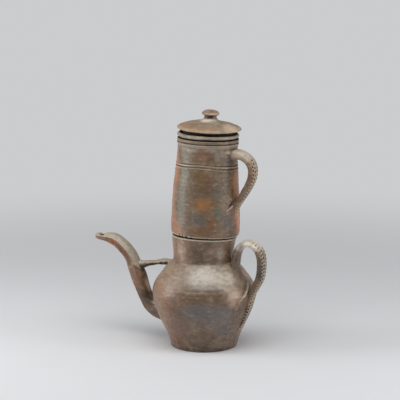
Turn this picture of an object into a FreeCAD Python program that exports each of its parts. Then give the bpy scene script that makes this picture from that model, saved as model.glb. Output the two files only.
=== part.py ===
# Drip coffee pot in thrown stoneware: a lower pot with a swan-neck spout and a strap handle,
# a filter chamber with its own handle on the pot's neck, a spreader in the chamber's mouth and a lid.
# Millimetres. The origin is the centre of the foot on the table, +Z is up, the handles point to +X
# and the spout to -X.
import FreeCAD, Part
import math
import os

Vector = FreeCAD.Vector

# Lower pot
foot_radius = 48.6
belly_radius = 76.2
belly_height = 80.0
neck_radius = 44.2
neck_height = 140.0
pot_rim_radius = 47.6
pot_rim_rise = 25.4
pot_wall = 5.4
pot_floor = 7.0
foot_round = 1.2
pot_rim_round = 2.0
pot_rim_lean_degrees = 1.9
edge_ease = 0.3
pot_height = neck_height + pot_rim_rise

# Filter chamber, measured along its own leaning axis from the pot's rim
chamber_lean_degrees = 2.6
chamber_height = 143.0
chamber_foot_radius = 48.4
chamber_full_radius = 49.7
chamber_throat_radius = 43.7
chamber_rim_radius = 44.6
chamber_wall = 5.0
chamber_foot_round = 1.4
chamber_rim_round = 1.6
chamber_shelf = 5.2
ridge_below_rim = 7.6
ridge_proud = 1.1
groove_below_rim = 4.6
groove_depth = 0.9
incised_line_drop = 35.2
incised_line_spacing = 4.0
incised_line_width = 1.7
incised_line_depth = 0.6
seat_clearance = 0.3

# Collar under the chamber, which enters the pot's neck
collar_length = 11.0
collar_radius = 38.2
collar_wall = 4.4

# Pierced floor of the chamber
strainer_thickness = 4.6
strainer_fit = 0.3
strainer_hole_radius = 1.5
strainer_hole_pitch = 7.4
strainer_margin = 5.5

# Spreader in the chamber's mouth
spreader_bead_radius = 44.5
spreader_bead_height = 4.6
spreader_bead_width = 6.4
spreader_seat_radius = 41.4
spreader_seat_height = 2.4
spreader_dish_radius = 37.3
spreader_dish_depth = 13.5
spreader_wall = 3.8
spreader_hole_radius = 1.6
spreader_hole_pitch = 8.2

# Lid and knob
lid_radius = 46.5
lid_edge_height = 3.1
lid_seat_radius = 40.6
lid_seat_height = 4.6
lid_dome_height = 10.9
lid_wall = 4.6
lid_collar_radius = 34.6
lid_collar_wall = 3.8
lid_collar_length = 8.0
knob_base_radius = 11.2
knob_neck_radius = 9.2
knob_radius = 12.9
knob_height = 14.9

# Spout
spout_reach = 181.0
spout_height = 146.5
spout_radius = 10.6
spout_wall = 2.7
spout_lip_length = 13.0
spout_lip_width = 8.4
spout_lip_depth = 3.4

# Brace between spout and shoulder
brace_radius = 4.5
brace_bury = 6.0
brace_spout_height = 107.4
brace_shoulder_height = 119.2
brace_arch = 1.2

# Handles. Each one's top and root are measured down from the rim of what carries it.
strap_half_width = 11.0
strap_half_thickness = 4.9
pot_handle_reach = 92.8
pot_handle_top_drop = 8.0
pot_handle_root_drop = 44.4
pot_handle_landing_height = 84.0
pot_handle_tail_height = 30.0
filter_handle_reach = 73.0
filter_handle_top_drop = 19.0
filter_handle_root_drop = 21.0
filter_handle_landing_height = 51.9
filter_handle_tail_height = 31.6
handle_root_bury = 3.0
pot_handle_tail_sink = 0.9
filter_handle_tail_sink = 3.4

# Cutting tools run this far past what they cut, and an edge this close to a plane lies in it
overrun = 30.0
plane_tolerance = 0.005

# Outline of the lower pot's wall: shares of the rise and of the swell, foot to belly
lower_wall_shares = ((0.0, 0.0), (0.12, 0.09), (0.25, 0.22), (0.40, 0.43), (0.56, 0.65), (0.75, 0.86))
# and of the rise and of the draw-in, belly to neck
shoulder_shares = ((0.0, 0.0), (0.13, 0.03), (0.30, 0.175), (0.43, 0.36), (0.54, 0.53), (0.62, 0.68),
                   (0.70, 0.82), (0.81, 0.945), (1.0, 1.0))
# and of the rise and of the flare, neck to rim
neck_shares = ((0.35, 0.32), (0.70, 0.72), (1.0, 1.0), (1.35, 1.10))
# Outline of the chamber: shares of its height, and of the way from its throat radius to its full radius
chamber_wall_shares = ((0.05, 0.88), (0.14, 1.0), (0.23, 0.95), (0.33, 0.92), (0.465, 0.715), (0.60, 0.445),
                       (0.70, 0.25), (0.81, 0.065), (0.90, 0.0))
# Middle line of the spout: shares of its reach and height
spout_path_shares = ((0.27, 0.290), (0.37, 0.290), (0.44, 0.310), (0.490, 0.352), (0.526, 0.418),
                     (0.562, 0.508), (0.602, 0.618), (0.632, 0.712), (0.655, 0.795), (0.683, 0.850),
                     (0.722, 0.900), (0.775, 0.949), (0.820, 0.974), (0.865, 0.985), (0.920, 0.990),
                     (0.960, 0.995), (1.0, 0.998))
# Spout sections: share of the way along, then half height and half width as shares of the spout's radius
spout_section_shares = ((0.0, 1.60, 1.70), (0.08, 1.38, 1.50), (0.16, 1.18, 1.26), (0.22, 1.06, 1.10),
                        (0.29, 1.0, 1.0), (0.38, 1.0, 1.0), (0.46, 1.0, 1.0), (0.54, 0.97, 0.97),
                        (0.61, 0.94, 0.94), (0.70, 0.92, 0.92), (0.77, 0.90, 0.90), (0.82, 0.88, 0.88),
                        (0.86, 0.82, 0.86), (0.89, 0.68, 0.80), (0.925, 0.50, 0.70), (0.96, 0.41, 0.60),
                        (0.985, 0.32, 0.44), (1.0, 0.17, 0.22))
# Brace sections, in the same way
brace_section_shares = ((0.0, 1.5, 1.4), (0.25, 1.1, 1.05), (0.5, 0.95, 1.0), (0.8, 1.0, 1.05),
                        (1.0, 1.25, 1.3))
# Where the bore stops short of the nose, as a share of the way along
spout_bore_end_share = 0.985
# Tail of a handle on the wall: shares of the way from its landing to its end
tail_shares = (0.0, 0.2, 0.4, 0.6, 0.8, 1.0)
# Middle line of the pot's handle from its root to its furthest point: shares of the way out from the
# wall at the root, and of the way up from the landing to the top
pot_handle_rise_shares = ((0.039, 0.740), (0.110, 0.860), (0.216, 0.940), (0.364, 0.990), (0.536, 1.0),
                          (0.708, 0.962), (0.859, 0.890), (0.954, 0.795), (0.996, 0.690), (1.0, 0.570))
# and on down: shares of the way out from the wall at the landing, and of the same way up
pot_handle_fall_shares = ((0.939, 0.445), (0.802, 0.325), (0.576, 0.215), (0.334, 0.120))
# Middle line of the filter's handle, in the same way
filter_handle_rise_shares = ((0.162, 1.0), (0.387, 0.990), (0.612, 0.950), (0.812, 0.888), (0.945, 0.803),
                             (1.0, 0.705))
filter_handle_fall_shares = ((0.988, 0.603), (0.923, 0.508), (0.804, 0.412), (0.657, 0.313),
                             (0.491, 0.213), (0.317, 0.113))
# How full the strap's corners are, where 1 is an ellipse
strap_fullness_share = 0.68
# Strap sections: share of the way along, half width and half thickness as shares of the strap's own
pot_handle_section_shares = ((0.0, 0.76, 1.30), (0.10, 0.84, 1.15), (0.20, 0.98, 0.92), (0.32, 1.0, 0.88),
                             (0.45, 1.0, 0.98), (0.57, 1.0, 1.0), (0.68, 0.96, 0.98), (0.76, 0.86, 0.92),
                             (0.84, 0.74, 0.80), (0.92, 0.62, 0.62), (1.0, 0.40, 0.34))
filter_handle_section_shares = ((0.0, 1.12, 1.40), (0.09, 1.04, 1.32), (0.18, 1.0, 1.18), (0.30, 1.0, 1.02),
                                (0.44, 1.0, 0.92), (0.58, 0.98, 0.90), (0.70, 0.90, 0.86),
                                (0.80, 0.78, 0.76), (0.90, 0.66, 0.66), (1.0, 0.50, 0.60))
# Knob outline: shares of the height and of the way from its neck radius to its full radius
knob_stem_shares = ((0.12, 0.25), (0.27, 0.0), (0.42, 0.12), (0.54, 0.80), (0.64, 1.0))
# and of the height and of the full radius, over its crown
knob_crown_shares = ((0.78, 0.93), (0.92, 0.62), (1.0, 0.0))
# Lid outline: shares of the dome's height, and of the way from the knob's base to the edge
lid_dome_shares = ((0.18, 0.93), (0.42, 0.74), (0.62, 0.50), (0.77, 0.28), (0.89, 0.11), (1.0, 0.0))


# Sections, outlines and cuts shared by the pieces

def smooth(points):
    # one smooth edge through outline points given as (radius, height)
    curve = Part.BSplineCurve()
    curve.interpolate([Vector(radius, 0, height) for radius, height in points])
    return curve.toShape()


def straight(start, end):
    return Part.makeLine(Vector(start[0], 0, start[1]), Vector(end[0], 0, end[1]))


def chain(points):
    return [straight(start, end) for start, end in zip(points, points[1:])]


def turned(edges):
    # the solid that a closed outline makes when it is turned on the wheel
    face = Part.Face(Part.Wire(Part.__sortEdges__(edges)))
    return face.revolve(Vector(0, 0, 0), Vector(0, 0, 1), 360)


def inset(points, wall):
    # the outline moved inwards by the wall, square to itself
    inner = []
    for index, (radius, height) in enumerate(points):
        before = points[max(index - 1, 0)]
        after = points[min(index + 1, len(points) - 1)]
        run = after[0] - before[0]
        rise = after[1] - before[1]
        length = math.hypot(run, rise)
        inner.append((radius - wall * rise / length, height + wall * run / length))
    return inner


def radius_at(edge, height):
    # radius of a turned outline at a height, where the outline crosses a level line
    reach = edge.BoundBox.XMax + overrun
    level = Part.makeLine(Vector(0, 0, height), Vector(reach, 0, height))
    return edge.distToShape(level)[1][0][0].x


def oval(center, along, half_width, half_height, fullness_share):
    # closed oval square to a direction in the XZ plane, half_width along Y;
    # a fullness of 1 is an ellipse, and a smaller one fills its corners
    up = Vector(-along.z, 0, along.x)
    corners = []
    steps = 16
    for step in range(steps):
        angle = math.tau * (step + 0.5) / steps
        across = math.copysign(abs(math.cos(angle)) ** fullness_share, math.cos(angle))
        rise = math.copysign(abs(math.sin(angle)) ** fullness_share, math.sin(angle))
        corners.append(center + Vector(0, half_width * across, 0) + up * (half_height * rise))
    curve = Part.BSplineCurve()
    curve.interpolate(Points=corners, PeriodicFlag=True)
    return Part.Wire(curve.toShape())


def limb(points, sections, half_width, half_height, less=0.0, end_share=1.0, fullness_share=1.0):
    # pulled clay limb: ovals set along a smooth middle line, each smaller by less all round
    line = smooth(points)
    rings = []
    for along_share, height_share, width_share in sections:
        if along_share <= end_share:
            place = line.getParameterByLength(along_share * line.Length)
            rings.append(oval(line.valueAt(place), line.tangentAt(place).normalize(),
                              width_share * half_width - less, height_share * half_height - less,
                              fullness_share))
    return Part.makeLoft(rings, True, False)


def leaned(shape, degrees):
    # tip a shape towards +X about the middle of the pot's rim
    tipped = shape.copy()
    tipped.rotate(Vector(0, 0, pot_height), Vector(0, 1, 0), degrees)
    return tipped


def edges_on(shape, height, radius_low, radius_high):
    # circular edges at one height whose radius lies between two limits
    found = []
    for edge in shape.Edges:
        box = edge.BoundBox
        if abs(box.ZMin - height) < plane_tolerance and abs(box.ZMax - height) < plane_tolerance:
            if radius_low < box.XMax < radius_high:
                found.append(edge)
    return found


def holes(radius, pitch, reach, low, high):
    # round holes in rings, one pitch apart, with one in the middle
    drills = [Part.makeCylinder(radius, high - low, Vector(0, 0, low))]
    ring = 1
    while ring * pitch <= reach:
        count = 6 * ring
        for step in range(count):
            angle = math.tau * step / count
            place = Vector(ring * pitch * math.cos(angle), ring * pitch * math.sin(angle), low)
            drills.append(Part.makeCylinder(radius, high - low, place))
        ring += 1
    return Part.makeCompound(drills)


def quarter(start, end, across):
    # quarter round from start to end, which swells towards the corner (across, end height)
    middle = Vector((start[0] + end[0]) / 2, 0, (start[1] + end[1]) / 2)
    corner = Vector(across, 0, end[1])
    bulge = middle + (corner - middle) * (math.sqrt(2) - 1)
    return Part.Arc(Vector(start[0], 0, start[1]), bulge, Vector(end[0], 0, end[1])).toShape()


# Lower pot

def pot_points():
    points = []
    for rise, swell in lower_wall_shares:
        points.append((foot_radius + swell * (belly_radius - foot_radius), rise * belly_height))
    for rise, draw in shoulder_shares:
        points.append((belly_radius + draw * (neck_radius - belly_radius),
                       belly_height + rise * (neck_height - belly_height)))
    for rise, flare in neck_shares:
        points.append((neck_radius + flare * (pot_rim_radius - neck_radius),
                       neck_height + rise * (pot_height - neck_height)))
    return points


def pot_full():
    # the pot as if it were solid, which everything luted onto it is cut by
    points = pot_points()
    top = points[-1]
    return turned([smooth(points)] + chain([top, (0, top[1]), (0, 0), points[0]]))


def pot_hollow():
    points = [(foot_radius - pot_wall, pot_floor)]
    points += [point for point in inset(pot_points(), pot_wall) if point[1] > pot_floor + pot_wall]
    top = points[-1]
    return turned([smooth(points)] + chain([top, (0, top[1]), (0, pot_floor), points[0]]))


def above_rim():
    # everything above the leaning rim, which rounds its two edges
    low = pot_height - pot_rim_round
    outer = radius_at(smooth(pot_points()), low) + edge_ease
    inner = radius_at(smooth(inset(pot_points(), pot_wall)), low) - edge_ease
    flat = (outer - pot_rim_round, pot_height)
    bore = (inner + pot_rim_round, pot_height)
    far = outer + overrun
    edges = [quarter((outer, low), flat, outer), quarter((inner, low), bore, inner)]
    edges += chain([flat, bore])
    edges += chain([(outer, low), (far, low), (far, pot_height + overrun), (0, pot_height + overrun),
                    (0, low), (inner, low)])
    return leaned(turned(edges), pot_rim_lean_degrees)


def under_foot():
    # everything outside the foot's rounded edge
    outer = radius_at(smooth(pot_points()), foot_round)
    flat = (outer - foot_round, 0)
    far = outer + overrun
    edges = [quarter((outer, foot_round), flat, outer)]
    edges += chain([(outer, foot_round), (far, foot_round), (far, -overrun), (flat[0], -overrun), flat])
    return turned(edges)


def pot_body():
    return pot_full().cut(pot_hollow()).cut(above_rim()).cut(under_foot()).cut(spout_bore())


# Spout, with its bore through the belly and the pouring lip open on top

def spout_points():
    return [(-across * spout_reach, up * spout_height) for across, up in spout_path_shares]


def spout_full():
    return limb(spout_points(), spout_section_shares, spout_radius, spout_radius)


def spout_bore():
    return limb(spout_points(), spout_section_shares, spout_radius, spout_radius, spout_wall,
                spout_bore_end_share)


def lip_opening():
    # a slot with round ends, cut down into the bore behind the nose
    end = spout_lip_width / 2
    far = -spout_reach + spout_lip_depth + end
    near = far + spout_lip_length - spout_lip_width
    slot = Part.makeCylinder(end, overrun, Vector(far, 0, spout_height))
    slot = slot.fuse(Part.makeCylinder(end, overrun, Vector(near, 0, spout_height)))
    middle = Part.makeBox(near - far, spout_lip_width, overrun, Vector(far, -end, spout_height))
    return slot.fuse(middle).removeSplitter()


def pot_spout():
    return spout_full().cut(pot_full()).cut(spout_bore()).cut(lip_opening())


def spout_brace():
    line = smooth(spout_points())
    level = Part.makeLine(Vector(-spout_reach, 0, brace_spout_height), Vector(0, 0, brace_spout_height))
    start = (line.distToShape(level)[1][0][0].x, brace_spout_height)
    end = (brace_bury - radius_at(smooth(pot_points()), brace_shoulder_height), brace_shoulder_height)
    middle = ((start[0] + end[0]) / 2, (start[1] + end[1]) / 2 + brace_arch)
    roll = limb([start, middle, end], brace_section_shares, brace_radius, brace_radius)
    return roll.cut(pot_full()).cut(spout_full())


# Handles

def strap(outline, root_height, rise_shares, fall_shares, reach, landing, top, tail_end, tail_sink,
          sections):
    # pulled strap: from its root in the wall, out and down to its landing, then a tail on the wall
    wall = smooth(outline)
    root = radius_at(wall, root_height)
    foot = radius_at(wall, landing)
    points = [(root - handle_root_bury, root_height)]
    for start, shares in ((root, rise_shares), (foot, fall_shares)):
        points += [(start + out * (reach - start), landing + up * (top - landing)) for out, up in shares]
    for share in tail_shares:
        height = landing + share * (tail_end - landing)
        points.append((radius_at(wall, height) - share * tail_sink, height))
    return limb(points, sections, strap_half_width, strap_half_thickness,
                fullness_share=strap_fullness_share)


def pot_handle():
    strap_solid = strap(pot_points(), pot_height - pot_handle_root_drop, pot_handle_rise_shares,
                        pot_handle_fall_shares, pot_handle_reach, pot_handle_landing_height,
                        pot_height - pot_handle_top_drop, pot_handle_tail_height,
                        pot_handle_tail_sink, pot_handle_section_shares)
    return strap_solid.cut(pot_full())


def filter_handle():
    strap_solid = strap(chamber_points(), chamber_top() - filter_handle_root_drop,
                        filter_handle_rise_shares, filter_handle_fall_shares, filter_handle_reach,
                        pot_height + filter_handle_landing_height,
                        chamber_top() - filter_handle_top_drop,
                        pot_height + filter_handle_tail_height, filter_handle_tail_sink,
                        filter_handle_section_shares)
    return leaned(strap_solid.cut(chamber_full()), chamber_lean_degrees)


# Filter chamber. Its foot rests on the rim at the handle side, where both lean lowest.

def chamber_base():
    chamber_slope = math.tan(math.radians(chamber_lean_degrees))
    rim_slope = math.tan(math.radians(pot_rim_lean_degrees))
    return pot_height + seat_clearance + chamber_foot_radius * (chamber_slope - rim_slope)


def chamber_top():
    return pot_height + chamber_height


def chamber_points():
    points = [(chamber_foot_radius, chamber_base())]
    for rise, swell in chamber_wall_shares:
        points.append((chamber_throat_radius + swell * (chamber_full_radius - chamber_throat_radius),
                       pot_height + rise * chamber_height))
    return points


def chamber_full():
    # the chamber as if it were solid, straight above its throat
    points = chamber_points()
    low = points[0][1]
    return turned([smooth(points)] + chain([points[-1], (chamber_throat_radius, chamber_top()),
                                            (0, chamber_top()), (0, low), points[0]]))


def shelf_top():
    return chamber_base() + chamber_shelf


def filter_body():
    outer = chamber_points()
    inner = [point for point in inset(outer, chamber_wall) if point[1] > shelf_top() + chamber_wall]
    inner = [(chamber_foot_radius - chamber_wall, shelf_top())] + inner
    ridge = chamber_top() - ridge_below_rim
    groove = chamber_top() - groove_below_rim
    mouth = [outer[-1], (chamber_throat_radius, ridge - 2 * ridge_proud),
             (chamber_throat_radius + ridge_proud, ridge),
             (chamber_rim_radius - groove_depth, groove - ridge_proud),
             (chamber_rim_radius - 2 * groove_depth, groove),
             (chamber_rim_radius, groove + groove_depth),
             (chamber_rim_radius, chamber_top()), (inner[-1][0], chamber_top()), inner[-1]]
    foot = [inner[0], (collar_radius - collar_wall, shelf_top()),
            (collar_radius - collar_wall, chamber_base() - collar_length),
            (collar_radius, chamber_base() - collar_length), (collar_radius, chamber_base()), outer[0]]
    body = turned([smooth(outer), smooth(inner)] + chain(mouth) + chain(foot))
    for step in range(2):
        height = chamber_top() - incised_line_drop - step * incised_line_spacing
        body = body.cut(incised_ring(radius_at(smooth(outer), height), height))
    body = body.makeFillet(chamber_rim_round, edges_on(body, chamber_top(), 0, belly_radius))
    foot_edge = edges_on(body, chamber_base(), collar_radius + collar_wall, belly_radius)
    body = body.makeFillet(chamber_foot_round, foot_edge)
    return leaned(body, chamber_lean_degrees)


def incised_ring(radius, height):
    # a line cut into the wall with the point of a stick
    half = incised_line_width / 2
    inside = radius - incised_line_depth
    outside = radius + incised_line_depth
    corners = [(inside, height), (outside, height + 2 * half), (outside, height - 2 * half), (inside, height)]
    return turned(chain(corners))


def filter_floor():
    radius = chamber_foot_radius - chamber_wall - strainer_fit
    low = shelf_top()
    plate = Part.makeCylinder(radius, strainer_thickness, Vector(0, 0, low))
    reach = collar_radius - collar_wall - strainer_margin
    plate = plate.cut(holes(strainer_hole_radius, strainer_hole_pitch, reach, low - overrun, low + overrun))
    return leaned(plate, chamber_lean_degrees)


# Spreader

def spreader_seat():
    return chamber_top() + seat_clearance


def spreader_top():
    return spreader_seat() + spreader_seat_height + spreader_bead_height


def spreader():
    seat = spreader_seat()
    neck = seat + spreader_seat_height
    middle = neck + spreader_bead_height / 2
    floor = seat - spreader_dish_depth
    inside = spreader_bead_radius - spreader_bead_width
    crest = spreader_bead_radius - spreader_bead_width / 2
    bead = Part.Arc(Vector(spreader_seat_radius, 0, neck), Vector(spreader_bead_radius, 0, middle),
                    Vector(crest, 0, spreader_top())).toShape()
    lip = Part.Arc(Vector(crest, 0, spreader_top()),
                   Vector(inside + spreader_bead_width / 6, 0, neck + spreader_bead_height * 5 / 6),
                   Vector(inside, 0, middle)).toShape()
    dish = chain([(inside, middle), (spreader_dish_radius - spreader_wall, floor + spreader_wall),
                  (0, floor + spreader_wall), (0, floor), (spreader_dish_radius - spreader_wall / 2, floor),
                  (spreader_dish_radius, floor + spreader_wall), (spreader_dish_radius, seat),
                  (spreader_seat_radius, seat), (spreader_seat_radius, neck)])
    ring = turned([bead, lip] + dish)
    reach = spreader_dish_radius - spreader_wall - spreader_hole_radius
    ring = ring.cut(holes(spreader_hole_radius, spreader_hole_pitch, reach, floor - overrun, floor + overrun))
    return leaned(ring, chamber_lean_degrees)


# Lid and knob

def lid_seat():
    return spreader_top() + seat_clearance


def lid_top():
    return lid_seat() + lid_seat_height + lid_edge_height + lid_dome_height


def lid():
    seat = lid_seat()
    under = seat + lid_seat_height
    edge = under + lid_edge_height
    nose = Part.Arc(Vector(lid_radius - lid_edge_height / 3, 0, under),
                    Vector(lid_radius, 0, under + lid_edge_height / 2),
                    Vector(lid_radius - lid_edge_height / 3, 0, edge)).toShape()
    rim = (lid_radius - lid_edge_height / 3, edge)
    dome = [rim] + [(knob_base_radius + spread * (rim[0] - knob_base_radius), edge + rise * lid_dome_height)
                    for rise, spread in lid_dome_shares]
    inside = lid_collar_radius - lid_collar_wall
    under_side = chain([(knob_base_radius, lid_top()), (0, lid_top()), (0, lid_top() - lid_wall),
                        (knob_base_radius, lid_top() - lid_wall), (inside, seat + lid_wall),
                        (inside, seat - lid_collar_length), (lid_collar_radius, seat - lid_collar_length),
                        (lid_collar_radius, seat), (lid_seat_radius, seat), (lid_seat_radius, under),
                        (lid_radius - lid_edge_height / 3, under)])
    return leaned(turned([nose, smooth(dome)] + under_side), chamber_lean_degrees)


def lid_knob():
    base = lid_top()
    points = [(knob_base_radius, base)]
    for rise, swell in knob_stem_shares:
        points.append((knob_neck_radius + swell * (knob_radius - knob_neck_radius), base + rise * knob_height))
    for rise, spread in knob_crown_shares:
        points.append((spread * knob_radius, base + rise * knob_height))
    return leaned(turned([smooth(points)] + chain([points[-1], (0, base), points[0]])), chamber_lean_degrees)


pieces = {
    "pot_body": pot_body,
    "pot_spout": pot_spout,
    "spout_brace": spout_brace,
    "pot_handle": pot_handle,
    "filter_body": filter_body,
    "filter_floor": filter_floor,
    "filter_handle": filter_handle,
    "spreader": spreader,
    "lid": lid,
    "lid_knob": lid_knob,
}

os.makedirs("parts", exist_ok=True)
for name, make in pieces.items():
    piece = make()
    piece.exportStep("parts/" + name + ".step")
    box = piece.BoundBox
    print(name, len(piece.Solids), "solid", piece.isValid(), round(piece.Volume / 1000, 2), "ml",
          [round(value, 1) for value in (box.XMin, box.XMax, box.YMin, box.YMax, box.ZMin, box.ZMax)])
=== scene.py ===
# Drip coffee pot in wood-fired, salt-glazed stoneware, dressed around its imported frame.
# Clay is shaped in millimetres, in the frame's own axes, and turned to metres in the meshes.
import math
from itertools import product

import bpy
import numpy as np
from mathutils import Matrix, Vector


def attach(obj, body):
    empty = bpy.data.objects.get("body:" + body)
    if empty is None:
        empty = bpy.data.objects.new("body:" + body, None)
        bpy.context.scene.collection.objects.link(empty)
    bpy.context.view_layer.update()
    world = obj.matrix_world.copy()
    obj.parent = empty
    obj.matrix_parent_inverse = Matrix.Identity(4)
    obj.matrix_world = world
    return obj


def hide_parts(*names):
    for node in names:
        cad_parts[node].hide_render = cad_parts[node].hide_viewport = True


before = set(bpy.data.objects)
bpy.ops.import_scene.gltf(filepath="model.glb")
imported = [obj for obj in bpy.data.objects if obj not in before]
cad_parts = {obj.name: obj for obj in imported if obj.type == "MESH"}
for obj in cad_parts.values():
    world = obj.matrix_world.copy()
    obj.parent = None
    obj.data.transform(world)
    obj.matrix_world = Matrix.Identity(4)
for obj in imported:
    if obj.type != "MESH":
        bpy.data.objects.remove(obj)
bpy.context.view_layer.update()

mm = 0.001

# What the thrown forms share: sizes in mm, turns in degrees
build = {
    "rimHeight": 165.4,    # middle of the pot's rim, about which the chamber leans
    "chamberLean": 2.6,    # towards the handles
    "seamTurn": -64,    # where the seam is highest
    "seamReach": 20,    # how far above and below the seam its sag fades out
    "seamWaves": (0.5, 0.7, 1.0, 0.57),    # lift, twice round, front to back, side to side
    "shiftTurn": 26,    # direction in which the outer skin is off centre
    # how far it is off centre, by height
    "shift": [(118, 0), (134, -1.0), (156, -0.6), (171, 1.5), (208, 0.9), (242, 0)],
    # radius of the outer skin, by height, and the depth below it at which the warp starts and is full
    "skin": [(60, 90), (112.4, 59.2), (117.2, 54.6), (122, 50.4), (129, 45.6), (140, 44.2), (165.4, 47.6),
             (172.6, 49), (185.4, 49.7), (212.6, 49.2), (240, 47.3), (300, 44)],
    "skinDepth": (-4.0, -0.8),
    "mouthWaves": (0.55, -0.45, 0.35),    # sag of the chamber's mouth: twice round, lift, side to side
    "mouthRadius": (40.5, 42.5),    # radii and heights between which that sag starts and is full
    "mouthHeight": (296, 304),
    "wheelSteps": 288,    # places round a ring
    "hollowReach": 3,    # steps either way that count as a place's surroundings
    "hollowShading": 1.3,    # how much painted shade a hollow of 1 mm gets, and painted highlight a ridge
    "mixedShading": 0.5,    # share of that painted shade and highlight on clay whose run has painted shade or highlight of its own
}


# Shaping helpers

def fade(low, high, value):
    share = np.clip((value - low) / (high - low), 0, 1)
    return share * share * (3 - 2 * share)


def band(start, full, easing, end, value):
    # 1 between two values, and less beyond them
    return fade(start, full, value) * fade(end, easing, value)


def hump(value, middle, half):
    # a soft rise, 1 at its middle
    return np.exp(-((value - middle) / half) ** 2)


def turnedFrom(turns, degrees):
    # how far round each place is from a direction, in radians either way
    return (turns - math.radians(degrees) + math.pi) % math.tau - math.pi


def lumps(points, size, seed):
    # smooth random lumps of one size in mm, between -1 and 1
    side = 32
    table = np.random.default_rng(seed).uniform(-1, 1, (side, side, side))
    place = points / size
    cell = np.floor(place).astype(int)
    part = place - cell
    part = part * part * (3 - 2 * part)
    total = np.zeros(points.shape[:-1])
    for corner in product((0, 1), repeat=3):
        weight = np.prod(np.where(corner, part, 1 - part), axis=-1)
        index = (cell + corner) % side
        total += weight * table[index[..., 0], index[..., 1], index[..., 2]]
    return total


def unevenness(points, form):
    # lumps of several sizes, each given as (height, size); the seeds count up from the form's own
    sizes = enumerate(form["lumps"], form["seed"])
    return sum(height * lumps(points, size, seed) for seed, (height, size) in sizes)


def lineThrough(points, spacing):
    # evenly spaced places on a smooth line through a few chosen points
    chosen = np.array(points, float)
    chosen = np.vstack([2 * chosen[0] - chosen[1], chosen, 2 * chosen[-1] - chosen[-2]])
    fine = []
    for a, b, c, d in zip(chosen, chosen[1:], chosen[2:], chosen[3:]):
        t = np.linspace(0, 1, 32, endpoint=False)[:, None]
        fine.append(0.5 * (2 * b + (c - a) * t + (2 * a - 5 * b + 4 * c - d) * t ** 2
                           + (3 * b - a - 3 * c + d) * t ** 3))
    fine = np.vstack(fine + [chosen[-2:-1]])
    run = np.concatenate([[0], np.cumsum(np.linalg.norm(np.diff(fine, axis=0), axis=1))])
    even = np.linspace(0, run[-1], max(int(round(run[-1] / spacing)), 1) + 1)
    return np.column_stack([np.interp(even, run, column) for column in fine.T])


def tipped(points):
    # lean the chamber, and all that stands on it, about the middle of the pot's rim
    angle = math.radians(build["chamberLean"])
    rise = points[..., 2] - build["rimHeight"]
    return np.stack([points[..., 0] * math.cos(angle) + rise * math.sin(angle), points[..., 1],
                     rise * math.cos(angle) - points[..., 0] * math.sin(angle) + build["rimHeight"]], axis=-1)


def seamWarp(points):
    # pot and chamber were fired together, so their outer skins share one sag and one shift along the seam
    radius = np.hypot(points[..., 0], points[..., 1])
    turn = np.arctan2(points[..., 1], points[..., 0]) - math.radians(build["seamTurn"])
    height = points[..., 2]
    skin = fade(*build["skinDepth"], radius - np.interp(height, *zip(*build["skin"])))
    near = hump(height, build["rimHeight"], build["seamReach"])
    lift, twice, front, side = build["seamWaves"]
    sag = lift + twice * np.cos(2 * turn) + front * np.cos(turn) + side * np.cos(turn + math.pi / 2)
    shift = skin * np.interp(height, *zip(*build["shift"]))
    warped = points.copy()
    warped[..., 0] += shift * math.cos(math.radians(build["shiftTurn"]))
    warped[..., 1] += shift * math.sin(math.radians(build["shiftTurn"]))
    warped[..., 2] += sag * near * skin
    return warped


def settled(points):
    # the chamber's mouth and the ring on it sagged at both sides, and more on the spout's
    turn = np.arctan2(points[..., 1], points[..., 0]) - math.radians(build["seamTurn"])
    radius = np.hypot(points[..., 0], points[..., 1])
    twice, lift, side = build["mouthWaves"]
    outer = fade(*build["mouthRadius"], radius) * fade(*build["mouthHeight"], points[..., 2])
    low = points.copy()
    low[..., 2] += outer * (twice * np.cos(2 * turn) + lift + side * np.sin(turn))
    return low


def mouthWarp(points):
    return tipped(settled(points))


def hollows(push, reach):
    # how far each place lies below (or, if negative, above) its surroundings
    level = push
    for axis in (0, 1):
        level = sum(np.roll(level, step, axis) for step in range(-reach, reach + 1)) / (2 * reach + 1)
    return level - push


def added(name, data):
    item = bpy.data.objects.new(name, data)
    bpy.context.scene.collection.objects.link(item)
    return item


def meshFrom(name, points, faces, paintedShading=None):
    # a mesh object in metres whose faces look outwards; paintedShading says where painted shade falls in its
    # hollows and painted highlight on its ridges
    mesh = bpy.data.meshes.new(name)
    mesh.from_pydata((points * mm).tolist(), [], faces)
    mesh.update()
    mesh.calc_loop_triangles()
    corner = np.zeros(len(mesh.loop_triangles) * 3, int)
    mesh.loop_triangles.foreach_get("vertices", corner)
    a, b, c = (points[corner.reshape(-1, 3)[:, i]] for i in range(3))
    if np.einsum("ij,ij->", a, np.cross(b, c)) < 0:
        mesh.flip_normals()
    mesh.polygons.foreach_set("use_smooth", np.ones(len(mesh.polygons), bool))
    if paintedShading is not None:
        layer = mesh.attributes.new("paintedShading", "FLOAT", "POINT")
        values = np.append(paintedShading, np.zeros(len(points) - paintedShading.size))
        layer.data.foreach_set("value", values.astype(np.float32))
    return added(name, mesh)


def ringFaces(rows, columns, start=0):
    faces = []
    for row in range(rows - 1):
        low = start + row * columns
        for column in range(columns):
            after = (column + 1) % columns
            faces.append((low + column, low + after, low + columns + after, low + columns + column))
    return faces


def skinned(name, rings, first, last, paintedShading=None):
    # closed skin over a stack of rings, with a point at each end
    rows, columns = rings.shape[:2]
    points = np.vstack([rings.reshape(-1, 3), first[None], last[None]])
    faces = ringFaces(rows, columns)
    top = (rows - 1) * columns
    for column in range(columns):
        after = (column + 1) % columns
        faces.append((after, column, rows * columns))
        faces.append((top + column, top + after, rows * columns + 1))
    return meshFrom(name, points, faces, paintedShading)


def aroundAxis(radius, turns, height):
    return np.stack([radius * np.cos(turns), radius * np.sin(turns), height], axis=-1)


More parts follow.
